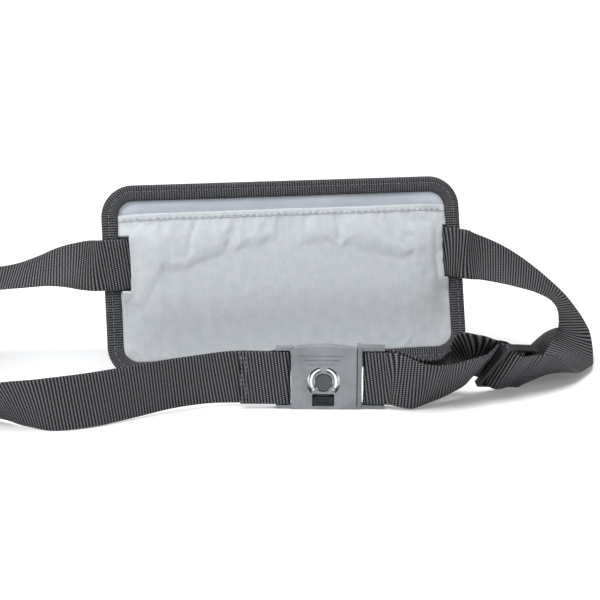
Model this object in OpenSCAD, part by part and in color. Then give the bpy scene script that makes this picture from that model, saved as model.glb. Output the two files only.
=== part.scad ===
// Money belt: a flat zipped pouch on a webbing waist strap that is threaded behind
// the pouch's back panel and closed by a snap buckle, with a sliding adjuster.
// Units are millimetres. +X is to the wearer's left, -Y faces the body, +Z is up.
// The pouch stands on its bottom edge and leans back; the strap stands in front.

/* [Pouch] */
// Width of the pouch over its binding
pouch_w = 184; // [176:1:192]
// Height of the pouch over its binding
pouch_h = 96; // [92:1:100]
// Radius of the pouch's outer corners
corner_r = 16; // [12:1:20]
// Angle that the pouch leans back from upright
lean = 16; // [14:1:18]
// Width of the binding tape that shows on each face
binding_w = 8; // [7:0.5:9]
// Thickness of the bound edge
binding_t = 4.8; // [4.4:0.2:5.6]
// Thickness of the pouch fabric
fabric_t = 0.7; // [0.5:0.1:0.9]
// How far the back panel stands out from the pouch's middle
back_bulge = 8.2; // [8:0.1:9]
// How far the front panel stands out from the pouch's middle
front_bulge = 9; // [8:0.5:10]
// Distance from the pouch's bottom edge to the back panel's open hem
hem_height = 80.5; // [78:0.5:82]

/* [Zip] */
// Length of the zip opening
zip_len = 140; // [120:2:144]
// Height of the zip's middle above the pouch's bottom edge
zip_height = 66; // [60:1:68]
// Distance that the zip slider travels
zip_travel = 118; // [90:2:122]

/* [Strap] */
// Width of the webbing
strap_w = 25; // [24:0.5:26]
// Thickness of the webbing
strap_t = 1.2; // [1:0.1:1.4]
// Rings swept between two points of the strap's route
strap_steps = 2; // [2:1:5]

/* [Buckle] */
// Height of the buckle's plates
plate_h = 28.5; // [28:0.5:30]
// Width of the ring half's front plate
plate_w = 30.2; // [29:0.2:31]
// Length of the slots that the webbing passes through
slot_len = 26.2; // [25.6:0.2:26.6]
// Radius of the stud's head
stud_r = 4.1; // [3.6:0.1:4.3]

/* [Hidden] */
$fn = 48;

edge_half = binding_t / 2;
groove_half = edge_half - 0.5;
groove_depth = binding_w - 1.2;
flange_d0 = 0.5;
inner_r = corner_r - binding_w + 1;
standing_cut = 0.45;
pouch_lift = edge_half * sin(lean) - standing_cut;
slit_z0 = 43;
slit_z1 = 70;
slit_left = -79;
slit_right = 80.4;
zip_gap = 0.9;
zip_window_h = 12;
seam_gap = 0.2;
slider_x = -zip_len / 2 + 9;
zip_d = front_bulge - 0.2;
slider_top = zip_d + 2.2;
pull_d = slider_top + 1.8;
pull_t = 1.4;
pull_len = 22;
buckle_at = [2.5, -64.5, 12.9];
buckle_yaw = -12;
strap_rise = 2;
plate_z0 = -12.6;
plate_z1 = plate_z0 + plate_h;
plate_x0 = -15;
plate_x1 = plate_x0 + plate_w;
slot_z0 = strap_rise - slot_len / 2;
slot_z1 = strap_rise + slot_len / 2;
prong_z1 = plate_z1 + 0.9;
ring_r0 = 3.75;
ring_r1 = 6.6;
pocket_r = 9.4;
post_r = 3.4;
window_r0 = 5.2;
window_r1 = 7.6;
front_web = 1.3;
recess_z0 = plate_z0 + 1.2;
recess_z1 = -5.4;
glide_at = [92, -60, 14.6];
glide_turn = [38, 10, 21];
glide_half = 1.4;

// ---- vectors -------------------------------------------------------------

function unit(v) = v / norm(v);

// turns v about X, then Y, then Z, as rotate() does
function turned(v, a) =
    let (
        p = [v.x, v.y * cos(a.x) - v.z * sin(a.x), v.y * sin(a.x) + v.z * cos(a.x)],
        q = [p.x * cos(a.y) + p.z * sin(a.y), p.y, p.z * cos(a.y) - p.x * sin(a.y)]
    )
    [q.x * cos(a.z) - q.y * sin(a.z), q.x * sin(a.z) + q.y * cos(a.z), q.z];

// a route point is [x, y, z, and the direction of the webbing's upper edge]
function point(p, w) = concat(p, w);

// route points given in the pouch's, the buckle's and the adjuster's own axes
function pouch_point(x, d, z = 56.5) =
    point(turned([x, -d, z], [-lean, 0, 0]) + [0, 0, pouch_lift], [0, sin(lean), cos(lean)]);
function buckle_point(x, y) =
    point(buckle_at + turned([x, y, strap_rise], [0, 0, buckle_yaw]), [0, 0, 1]);
function glide_point(x, y) =
    point(glide_at + turned([x, y, 0], glide_turn), turned([0, 0, 1], glide_turn));

// ---- the strap's route ------------------------------------------------------
// One webbing: from its sewn fold on the ring half's bar, round the left loop, behind
// the back panel, over the adjuster, round the stud half's bar, and back to its tail.

LEFT_FRONT = [
    buckle_point(-26, 2.4),
    [-36, -53.5, 14.9, 0, 0, 1],
    [-50, -52.3, 14.3, 0, -0.12, 1],
    [-67, -55.5, 13.8, -0.05, -0.15, 1],
    [-85, -62.5, 13.3, -0.08, -0.08, 1],
    [-104, -69.5, 12.9, -0.15, 0, 1],
    [-122, -71.5, 12.6, -0.25, -0.05, 0.95]
];
LEFT_LOOP = [
    [-136, -66.5, 12.2, -0.3, -0.25, 0.9],
    [-149, -59, 11.5, -0.35, -0.5, 0.8],
    [-168, -50, 10.4, -0.4, -0.6, 0.7],
    [-190, -41, 10, -0.5, -0.6, 0.65],
    [-211, -29, 11.5, -0.65, -0.45, 0.6],
    [-225, -11, 16, -0.8, -0.1, 0.58],
    [-228, 9, 23, -0.8, 0.25, 0.52],
    [-218, 27, 31, -0.5, 0.7, 0.45],
    [-198, 38, 38, -0.15, 0.9, 0.38],
    [-172, 39.5, 43, 0.1, 0.95, 0.3]
];
LEFT_REAR = [
    [-143, 33.2, 46.6, 0.3, 0.9, 0.28],
    [-127.7, 27.5, 50.2, 0.28, 0.86, 0.42],
    [-116, 22.6, 53.6, 0.2, 0.78, 0.6],
    [-105, 18.2, 55, 0.1, 0.6, 0.8],
    pouch_point(-96, 3.9),
    pouch_point(-90, 4),
    pouch_point(-84.5, 3.6),
    pouch_point(-79.5, 3.1)
];
SLEEVE = [
    pouch_point(-74.5, 3.2),
    pouch_point(-64, 4.4),
    pouch_point(-44, 5.9),
    pouch_point(0, 6),
    pouch_point(44, 5.9),
    pouch_point(62, 4.4),
    pouch_point(71, 3.4),
    pouch_point(76.5, 2.9),
    pouch_point(80.5, 3)
];
RIGHT_REAR = [
    pouch_point(84.8, 3.7, 56.3),
    pouch_point(89.5, 4.3, 55.4),
    pouch_point(94, 4.8, 54.2),
    [101.5, 12.6, 51.4, 0.15, 0.55, 0.8],
    [112, 11.9, 47.8, 0.3, 0.7, 0.62],
    [122, 9.8, 43.4, 0.4, 0.82, 0.42],
    [131.5, 6.4, 38.2, 0.5, 0.85, 0.15],
    [139.5, 1.5, 32.2, 0.62, 0.78, -0.1]
];
RIGHT_TURN = [
    [143.8, -4.5, 26, 0.72, 0.64, -0.28],
    [145.3, -9.5, 19.5, 0.82, 0.46, -0.33],
    [144.8, -13.5, 13.2, 0.9, 0.3, -0.3],
    [141.5, -19, 8, 0.9, 0, -0.25],
    [134, -28, 4.8, 0.84, -0.5, -0.05],
    [125, -38, 3.8, 0.8, -0.6, 0.1],
    [117, -47.5, 5.6, 0.66, -0.55, 0.48],
    [109.9, -54, 9.1, 0.4, -0.53, 0.75]
];
GLIDE_WRAP = [
    glide_point(13, -2.8),
    glide_point(8.4, -2.8),
    glide_point(4, -3.7),
    glide_point(0, -4.2),
    glide_point(-2.8, -3.3),
    glide_point(-4.3, -0.6),
    glide_point(-5.2, 1.8),
    glide_point(-7.9, 3),
    glide_point(-11, 3.1)
];
FRONT_LAYER = [
    [74.4, -67.2, 15.8, 0.32, -0.55, 0.78],
    [66, -70.8, 14.3, 0.2, -0.57, 0.8],
    [57.4, -73.1, 12.6, 0.1, -0.55, 0.84],
    [50, -75.6, 12.3, 0.1, -0.45, 0.88],
    [44, -76.5, 12.5, 0.08, -0.3, 0.95],
    [38.5, -74.5, 13.7, 0.03, -0.12, 0.99],
    [34, -71.8, 14.9, 0, 0, 1]
];
BAR_FOLD = [
    buckle_point(28.6, 0.6),
    buckle_point(25, 0.8),
    buckle_point(21.8, 0.9),
    buckle_point(19.5, 1.7),
    buckle_point(18.8, 3.1),
    buckle_point(19.5, 4.6),
    buckle_point(21.8, 5.4),
    buckle_point(25, 5.6),
    buckle_point(29.4, 5.5)
];
REAR_LAYER = [
    [37.6, -67.4, 14.7, 0, -0.08, 1],
    [45, -70.8, 13.3, 0.08, -0.34, 0.93],
    [53.5, -68, 12.9, 0.1, -0.42, 0.9],
    [59.5, -62.5, 14.2, 0.12, -0.36, 0.93],
    [64, -58, 17.3, 0.2, -0.42, 0.88],
    [69.5, -57.3, 20.6, 0.29, -0.49, 0.82],
    [75.3, -59.8, 21.5, 0.35, -0.53, 0.78]
];
GLIDE_RETURN = [
    glide_point(-12, 5.4),
    glide_point(-8.4, 5),
    glide_point(-5.2, 4),
    glide_point(-3.2, 1.4),
    glide_point(-2.5, -1),
    glide_point(-1, -2.3),
    glide_point(1, -2.3),
    glide_point(2.5, -1.2),
    glide_point(3.6, 0.9),
    glide_point(5.4, 2.3),
    glide_point(8.4, 2.9)
];
TAIL = [
    [105, -50.3, 15.2, 0.32, -0.42, 0.85],
    [110.5, -44.8, 15.8, 0.4, -0.3, 0.86],
    [115.8, -40.6, 15.9, 0.46, -0.22, 0.85],
    [121, -37.2, 15.8, 0.5, -0.18, 0.84]
];
RUNS = [LEFT_FRONT, LEFT_LOOP, LEFT_REAR, SLEEVE, RIGHT_REAR, RIGHT_TURN, GLIDE_WRAP,
    FRONT_LAYER, BAR_FOLD, REAR_LAYER, GLIDE_RETURN, TAIL];
ROUTE = [for (run = RUNS) each run];
function points_before(run) = run == 0 ? 0 : points_before(run - 1) + len(RUNS[run - 1]);

// ---- sweeping the webbing ---------------------------------------------------

function spline(a, b, c, d, t) =
    0.5 * (2 * b + (c - a) * t + (2 * a - 5 * b + 4 * c - d) * t * t
        + (3 * b - a - 3 * c + d) * t * t * t);
function route_at(route, s) =
    let (
        last = len(route) - 1,
        i = min(floor(s), last - 1),
        before = route[max(i - 1, 0)],
        after = route[min(i + 2, last)]
    )
    spline(before, route[i], route[i + 1], after, s - i);
function place(p) = [p[0], p[1], p[2]];
function upper(p) = [p[3], p[4], p[5]];

// the four corners of the webbing's section at s, its upper edge square to the route
function section_at(route, s, width, thick) =
    let (
        last = len(route) - 1,
        here = route_at(route, s),
        ahead = place(route_at(route, min(s + 0.05, last))),
        behind = place(route_at(route, max(s - 0.05, 0))),
        along = unit(ahead - behind),
        edge = upper(here),
        across = unit(edge - along * (edge * along)) * width / 2,
        through = unit(cross(along, across)) * thick / 2
    )
    [for (k = [[-1, -1], [1, -1], [1, 1], [-1, 1]])
        place(here) + k[0] * across + k[1] * through];

module ribbon(route, s0, s1, rings) {
    sections = [for (i = [0:rings])
        section_at(route, s0 + (s1 - s0) * i / rings, strap_w, strap_t)];
    corners = [for (section = sections) each section];
    sides = [for (i = [0:rings - 1], k = [0:3])
        let (a = 4 * i + k, b = 4 * i + (k + 1) % 4)
        each [[a, b + 4, b], [a, a + 4, b + 4]]];
    last = 4 * rings;
    caps = [[0, 1, 2], [0, 2, 3], [last + 2, last + 1, last], [last + 3, last + 2, last]];
    polyhedron(corners, concat(sides, caps));
}

// one named stretch of the strap; each starts where the one before it ends, less a
// little where the two stretches move apart
module strap_run(run, trim_start = 0, trim_end = 0) {
    start = points_before(run) + trim_start;
    end = min(points_before(run) + len(RUNS[run]), len(ROUTE) - 1) - trim_end;
    color([0.13, 0.13, 0.14])
        ribbon(ROUTE, start, end, strap_steps * len(RUNS[run]));
}

// ---- shared shapes ----------------------------------------------------------

module on_pouch() {
    translate([0, 0, pouch_lift]) rotate([-lean, 0, 0]) children();
}

module at_buckle() {
    translate(buckle_at) rotate([0, 0, buckle_yaw]) children();
}

// a rounded rectangle whose lowest edge is inset from the pouch's bottom edge
module pouch_outline(inset, r) {
    w = pouch_w - 2 * inset;
    h = pouch_h - 2 * inset;
    translate([-w / 2, inset]) {
        translate([r, 0]) square([w - 2 * r, h]);
        translate([0, r]) square([w, h - 2 * r]);
        for (x = [r, w - r], y = [r, h - r]) translate([x, y]) circle(r);
    }
}

// a flat slab of the pouch's outline between two distances from its middle;
// side is -1 for the back and 1 for the front
module slab(inset, r, d0, d1, side) {
    low = side > 0 ? d0 : -d1;
    translate([0, low + d1 - d0, 0]) rotate([90, 0, 0])
        linear_extrude(d1 - d0) pouch_outline(inset, r, $fn = 32);
}

// the raised shape that a panel is sewn to: its section across the pouch's height
// meets its section across the width; shrink draws it in by the wall's thickness
module pillow(side, bulge, shrink) {
    foot = binding_w + 0.4 + shrink;
    half = pouch_w / 2 - foot;
    top = side > 0 ? pouch_h - foot : pouch_h - foot + 4;
    base = flange_d0 - shrink;
    shoulder = (side > 0 ? 4.2 : 4.7) - shrink;
    face = bulge - shrink;
    brow = side > 0 ? face : face - 1.2;
    brow_z = side > 0 ? top - 8 : 82;
    ease_x = side > 0 ? 9 : 22;
    ease_z = side > 0 ? 8.6 : 16;
    intersection() {
        translate([-pouch_w / 2, 0, 0]) rotate([90, 0, 90]) linear_extrude(pouch_w) polygon([
            [side * base, foot],
            [side * shoulder, foot + 2.2],
            [side * face, foot + ease_z],
            [side * face, 62],
            [side * brow, brow_z],
            [side * (side > 0 ? shoulder : brow), top - 2],
            [side * base, top]]);
        linear_extrude(pouch_h) polygon([
            [-half, side * base],
            [-half + 2.4, side * shoulder],
            [-half + ease_x, side * face],
            [half - ease_x, side * face],
            [half - 2.4, side * shoulder],
            [half, side * base]]);
        slab(foot, inner_r, base, face, side);
    }
}

module panel_shell(side, bulge) {
    difference() {
        union() {
            pillow(side, bulge, 0);
            slab(binding_w - 2, inner_r, flange_d0, flange_d0 + fabric_t, side);
        }
        pillow(side, bulge, fabric_t);
        slab(binding_w + 1.2, inner_r, -1, flange_d0 + fabric_t, side);
    }
}

module pouch_box(x0, x1, d0, d1, z0, z1, side) {
    low = side > 0 ? d0 : -d1;
    translate([x0, low, z0]) cube([x1 - x0, d1 - d0, z1 - z0]);
}

// ---- pouch --------------------------------------------------------------------

// the bound edge, pressed flat where the pouch stands on it
module binding_tape() {
    color([0.1, 0.1, 0.11]) difference() {
        on_pouch() difference() {
            slab(0, corner_r, -edge_half, edge_half, 1);
            slab(binding_w, inner_r, -edge_half - 1, edge_half + 1, 1);
            slab(binding_w - groove_depth, inner_r + groove_depth, -groove_half, groove_half, 1);
        }
        translate([-pouch_w, -10, -5]) cube([2 * pouch_w, 20, 5]);
    }
}

module back_panel() {
    color([0.62, 0.65, 0.68]) on_pouch() difference() {
        panel_shell(-1, back_bulge);
        pouch_box(-100, 100, -1, 12, hem_height, 100, -1);
        pouch_box(-100, slit_left, flange_d0 + fabric_t, 12, slit_z0, slit_z1, -1);
        pouch_box(slit_right, 100, flange_d0 + fabric_t, 12, slit_z0, slit_z1, -1);
    }
}

module liner_panel() {
    color([0.5, 0.56, 0.63]) on_pouch() slab(binding_w - 3, inner_r + 3, -0.2, 0.2, 1);
}

// the front panel between two heights, less the zip's window
module front_shell(z0, z1) {
    half_window = zip_window_h / 2;
    color([0.24, 0.26, 0.29]) on_pouch() difference() {
        intersection() {
            panel_shell(1, front_bulge);
            pouch_box(-pouch_w, pouch_w, -1, front_bulge + 1, z0, z1, 1);
        }
        pouch_box(-zip_len / 2, zip_len / 2, 0, front_bulge + 1, zip_height - half_window,
            zip_height + half_window, 1);
    }
}

module front_lower_panel() {
    front_shell(0, zip_height - seam_gap);
}

module front_upper_panel() {
    front_shell(zip_height + seam_gap, pouch_h);
}

// ---- zip ----------------------------------------------------------------------

// a strip beside the zip's middle, on its lower side (-1) or its upper side (1)
module zip_strip(half, from, to, d0, d1) {
    z0 = half > 0 ? zip_height + from : zip_height - to;
    on_pouch() pouch_box(-zip_len / 2 + 0.4, zip_len / 2 - 0.4, d0, d1, z0, z0 + to - from, 1);
}

module zip_tape_lower() {
    color([0.12, 0.12, 0.13]) zip_strip(-1, 1.6, 8.6, zip_d - 1.2, zip_d - 0.6);
}

module zip_tape_upper() {
    color([0.12, 0.12, 0.13]) zip_strip(1, 1.6, 8.6, zip_d - 1.2, zip_d - 0.6);
}

module zip_coil_lower() {
    color([0.08, 0.08, 0.09]) zip_strip(-1, zip_gap / 2, 2.4, zip_d - 0.6, zip_d + 0.9);
}

module zip_coil_upper() {
    color([0.08, 0.08, 0.09]) zip_strip(1, zip_gap / 2, 2.4, zip_d - 0.6, zip_d + 0.9);
}

module zip_stops() {
    color([0.3, 0.3, 0.31]) on_pouch()
        for (x = [-zip_len / 2 + 1.2, zip_len / 2 - 2.8])
            pouch_box(x, x + 1.6, zip_d + 0.9, zip_d + 1.9, zip_height - 2.4, zip_height + 2.4, 1);
}

module zip_slider() {
    color([0.3, 0.3, 0.31]) on_pouch() translate([slider_x, 0, 0]) {
        pouch_box(-4.6, 4.6, slider_top - 1, slider_top, zip_height - 4, zip_height + 4, 1);
        pouch_box(-4.6, 4.6, zip_d - 2.6, zip_d - 1.6, zip_height - 4, zip_height + 4, 1);
        pouch_box(-0.8, 3.4, zip_d - 1.7, zip_d + 1.3, zip_height - 0.2, zip_height + 0.2, 1);
        for (z = [-3, 2])
            pouch_box(-1.4, 1.4, slider_top, pull_d + 0.9, zip_height + z, zip_height + z + 1, 1);
        translate([0, pull_d, zip_height])
            cylinder(r = 0.6, h = 5.2, center = true);
    }
}

module zip_pull() {
    color([0.2, 0.2, 0.21]) on_pouch() translate([slider_x, pull_d, zip_height]) {
        difference() {
            union() {
                cylinder(r = 1.5, h = 3.4, center = true);
                translate([0, -pull_t / 2, -1.7]) cube([pull_len, pull_t, 3.4]);
                translate([pull_len, pull_t / 2, 0]) rotate([90, 0, 0])
                    cylinder(r = 4, h = pull_t);
            }
            cylinder(r = 0.9, h = 5, center = true);
            translate([pull_len, pull_t, 0]) rotate([90, 0, 0])
                cylinder(r = 1.8, h = 2 * pull_t);
        }
    }
}

// ---- strap --------------------------------------------------------------------

module strap_left_front() { strap_run(0); }
module strap_left_loop() { strap_run(1); }
module strap_left_rear() { strap_run(2); }
module strap_sleeve_run() { strap_run(3); }
module strap_right_rear() { strap_run(4); }
module strap_right_turn() { strap_run(5); }
module strap_glide_wrap() { strap_run(6, 0.15, 0.1); }
module strap_front_layer() { strap_run(7); }
module strap_bar_fold() { strap_run(8); }
module strap_rear_layer() { strap_run(9); }
module strap_glide_return() { strap_run(10, 0.1); }
module strap_tail() { strap_run(11); }

// the sewn end: in front of the bar, round it, and back against the strap
module strap_end_fold() {
    fold_x = -18.1;
    fold_y = 2.9;
    fold_r = 2.1;
    color([0.13, 0.13, 0.14]) at_buckle() translate([0, 0, strap_rise - strap_w / 2]) {
        translate([-38.5, fold_y - fold_r - strap_t / 2, 0])
            cube([fold_x + 38.5, strap_t, strap_w]);
        translate([fold_x, fold_y, 0]) rotate([0, 0, -90])
            rotate_extrude(angle = 180) translate([fold_r - strap_t / 2, 0])
                square([strap_t, strap_w]);
        linear_extrude(strap_w) polygon([
            [fold_x, fold_y + fold_r - strap_t / 2],
            [fold_x, fold_y + fold_r + strap_t / 2],
            [-21.5, fold_y + fold_r + strap_t / 2],
            [-25.6, 2.4 + strap_t / 2],
            [-25.6, 2.4 - strap_t / 2],
            [-22, fold_y + fold_r - strap_t / 2]]);
    }
}

// ---- buckle, ring half ----------------------------------------------------------

// a plate standing on its edge, from x0 to x1 and from the front face y0 to y1
module upright(x0, x1, y0, y1, z0, z1) {
    translate([x0, y0, z0]) cube([x1 - x0, y1 - y0, z1 - z0]);
}

module front_cylinder(r, y0, y1) {
    translate([0, y1, 0]) rotate([90, 0, 0]) cylinder(r = r, h = y1 - y0);
}

// part of a flat ring round the stud, from an angle above +X, turning upwards
module ring_arc(r0, r1, y0, y1, from, sweep) {
    translate([0, y1, 0]) rotate([90, 0, 0]) rotate([0, 0, from])
        rotate_extrude(angle = sweep) translate([r0, 0]) square([r1 - r0, y1 - y0]);
}

module ring_plate() {
    arch_r = 75;
    color([0.3, 0.31, 0.32]) at_buckle() difference() {
        union() {
            upright(plate_x0, plate_x1, 0, 5, plate_z0, plate_z1);
            intersection() {
                upright(plate_x0 + 1, plate_x1 - 1, 0, 5, plate_z1 - 1, plate_z1 + 3);
                translate([0, 0, plate_z1 + 1.6 - arch_r]) front_cylinder(arch_r, 0, 5);
            }
            upright(-22, plate_x0 + 1, 0.8, 5, slot_z1, prong_z1);
            upright(-22, plate_x0 + 1, 0.8, 5, plate_z0, slot_z0);
            upright(-22, -19.6, 1.8, 4, slot_z0 - 0.5, slot_z1 + 0.5);
        }
        front_cylinder(stud_r + 0.35, -1, 6);
        front_cylinder(pocket_r, front_web, 6);
        ring_arc(window_r0, window_r1, -1, front_web + 0.1, -42, 118);
        ring_arc(window_r0, window_r1, -1, front_web + 0.1, 104, 118);
        upright(-5.2, 4.9, -1, 3.4, recess_z0, recess_z1);
        for (k = [0:2])
            upright(-11 + 2 * k, 9 - 2 * k, -0.5, 0.25, 12.6 - 2.1 * k, 13 - 2.1 * k);
    }
}

module lock_ring() {
    color([0.85, 0.86, 0.87]) at_buckle() ring_arc(ring_r0, ring_r1, 1.9, 3.1, -32, 244);
}

module ring_magnet() {
    color([0.7, 0.7, 0.72]) at_buckle() ring_arc(7.4, 9.2, 3.5, 4.8, -40, 260);
}

module release_slider() {
    color([0.16, 0.16, 0.17]) at_buckle() difference() {
        union() {
            upright(-4.7, 4.4, 0.9, 3.1, recess_z0 + 0.3, -7);
            translate([0, 3.1, 0]) rotate([90, 0, 0]) linear_extrude(1.5)
                polygon([[-4, -7.1], [4, -7.1], [2.4, -5.8], [-2.4, -5.8]]);
        }
        for (z = [-10.4, -9.4, -8.4]) upright(-3.4, 3.2, 0.5, 1.2, z, z + 0.45);
    }
}

// ---- buckle, stud half ----------------------------------------------------------

module stud_plate() {
    bar_x0 = plate_x1 + 0.4;
    bar_x1 = bar_x0 + 2;
    color([0.27, 0.28, 0.29]) at_buckle() difference() {
        union() {
            upright(plate_x0 + 1, bar_x0 + 1, 5.3, 8.6, plate_z0, plate_z1 - 1);
            upright(bar_x0, bar_x1, 0.2, 8.6, plate_z0, prong_z1);
            upright(bar_x1 - 1, 28.2, 0.6, 6.6, slot_z1, prong_z1);
            upright(bar_x1 - 1, 28.2, 0.6, 6.6, plate_z0, slot_z0);
            upright(20.8, 23.2, 1.9, 4.3, slot_z0 - 0.5, slot_z1 + 0.5);
        }
        front_cylinder(8.8, 5, 7);
        front_cylinder(post_r, 4, 9);
    }
}

module stud_post() {
    color([0.2, 0.2, 0.22]) at_buckle() union() {
        front_cylinder(stud_r, 0.35, 1.6);
        front_cylinder(post_r, 1.5, 8.6);
    }
}

module stud_magnet() {
    color([0.72, 0.72, 0.74]) at_buckle() difference() {
        front_cylinder(8.6, 5.4, 7);
        front_cylinder(4.3, 5, 8);
    }
}

// ---- adjuster ---------------------------------------------------------------------

module tri_glide() {
    end = slot_len / 2;
    color([0.1, 0.1, 0.11]) translate(glide_at) rotate(glide_turn) union() {
        difference() {
            union() {
                upright(-8.2, 8.2, -glide_half, glide_half, -14.7, 14.7);
                upright(-9.6, 9.6, -glide_half, glide_half, -13.3, 13.3);
                for (x = [-8.2, 8.2], z = [-13.3, 13.3]) translate([x, glide_half, z])
                    rotate([90, 0, 0]) cylinder(r = 1.4, h = 2 * glide_half);
            }
            upright(-7, 7, -3, 3, -end, end);
        }
        upright(-1.1, 1.1, -1, 1, -end - 0.5, end + 0.5);
    }
}

binding_tape();
back_panel();
liner_panel();
front_lower_panel();
front_upper_panel();
zip_tape_lower();
zip_tape_upper();
zip_coil_lower();
zip_coil_upper();
zip_stops();
zip_slider();
zip_pull();
strap_left_front();
strap_left_loop();
strap_left_rear();
strap_sleeve_run();
strap_right_rear();
strap_right_turn();
strap_glide_wrap();
strap_glide_return();
strap_tail();
strap_front_layer();
strap_bar_fold();
strap_rear_layer();
strap_end_fold();
ring_plate();
lock_ring();
ring_magnet();
release_slider();
stud_plate();
stud_post();
stud_magnet();
tri_glide();
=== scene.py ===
"""A money belt: a zipped pouch with bound edges on a webbing strap with a snap buckle.

Shapes are worked out in millimetres in the model's frame and turned into metres when
a mesh is made. The pouch has its own axes: u along its width, v up from its bottom
edge, and d out of its back, towards the strap; the pouch leans back by LEAN.
"""

import math

import bmesh
import bpy
import numpy as np
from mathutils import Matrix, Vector, noise


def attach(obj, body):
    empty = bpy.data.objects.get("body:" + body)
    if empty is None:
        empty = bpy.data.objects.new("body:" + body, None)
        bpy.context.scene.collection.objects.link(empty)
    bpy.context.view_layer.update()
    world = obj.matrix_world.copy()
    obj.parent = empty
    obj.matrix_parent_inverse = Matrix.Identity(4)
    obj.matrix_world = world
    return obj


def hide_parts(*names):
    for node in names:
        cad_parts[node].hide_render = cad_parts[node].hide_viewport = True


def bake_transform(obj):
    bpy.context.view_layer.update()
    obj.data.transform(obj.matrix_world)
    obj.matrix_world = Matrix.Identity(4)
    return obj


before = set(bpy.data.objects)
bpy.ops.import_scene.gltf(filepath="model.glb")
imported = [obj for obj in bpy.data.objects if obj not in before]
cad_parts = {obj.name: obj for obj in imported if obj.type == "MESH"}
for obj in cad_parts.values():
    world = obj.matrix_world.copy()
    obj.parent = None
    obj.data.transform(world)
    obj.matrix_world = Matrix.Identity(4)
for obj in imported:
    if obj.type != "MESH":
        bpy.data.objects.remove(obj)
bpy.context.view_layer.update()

MM = 0.001

# ---- sizes shared with the model, in millimetres and degrees ----------------------

POUCH_W, POUCH_H, CORNER_R = 184, 96, 16
LEAN = math.radians(16)
BINDING_W, BINDING_T = 8, 4.8
POUCH_LIFT = BINDING_T / 2 * math.sin(LEAN) - 0.45
BACK_BULGE, FRONT_BULGE = 8.2, 9.0
HEM_V = 80.5
SLIT_LEFT, SLIT_RIGHT, SLIT_V0, SLIT_V1 = -79, 80.4, 43, 70
ZIP_V, ZIP_LEN, ZIP_D = 66, 140, FRONT_BULGE - 0.2
STRAP_W, STRAP_T, STRAP_RISE = 25, 1.2, 2
STRAP_V = 56.5
BUCKLE_AT, BUCKLE_YAW = np.array([2.5, -64.5, 12.9]), math.radians(-12)
GLIDE_AT, GLIDE_TURN = np.array([92, -60, 14.6]), np.radians([38, 10, 21])


def turned(v, angles):
    """v turned about X, then Y, then Z."""
    ax, ay, az = angles
    x, y, z = v
    y, z = y * math.cos(ax) - z * math.sin(ax), y * math.sin(ax) + z * math.cos(ax)
    x, z = x * math.cos(ay) + z * math.sin(ay), z * math.cos(ay) - x * math.sin(ay)
    x, y = x * math.cos(az) - y * math.sin(az), x * math.sin(az) + y * math.cos(az)
    return np.array([x, y, z])


def pouch(u, d, v):
    """A point on the pouch, from its own axes."""
    return turned((u, -d, v), (-LEAN, 0, 0)) + (0, 0, POUCH_LIFT)


def pouch_point(x, d, z=STRAP_V):
    return [*pouch(x, d, z), 0, math.sin(LEAN), math.cos(LEAN)]


def buckle(x, y, z=0):
    """A point on the buckle, from its own axes."""
    return BUCKLE_AT + turned((x, y, z), (0, 0, BUCKLE_YAW))


def buckle_point(x, y):
    return [*buckle(x, y, STRAP_RISE), 0, 0, 1]


def glide_point(x, y):
    return [*(GLIDE_AT + turned((x, y, 0), GLIDE_TURN)), *turned((0, 0, 1), GLIDE_TURN)]


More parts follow.
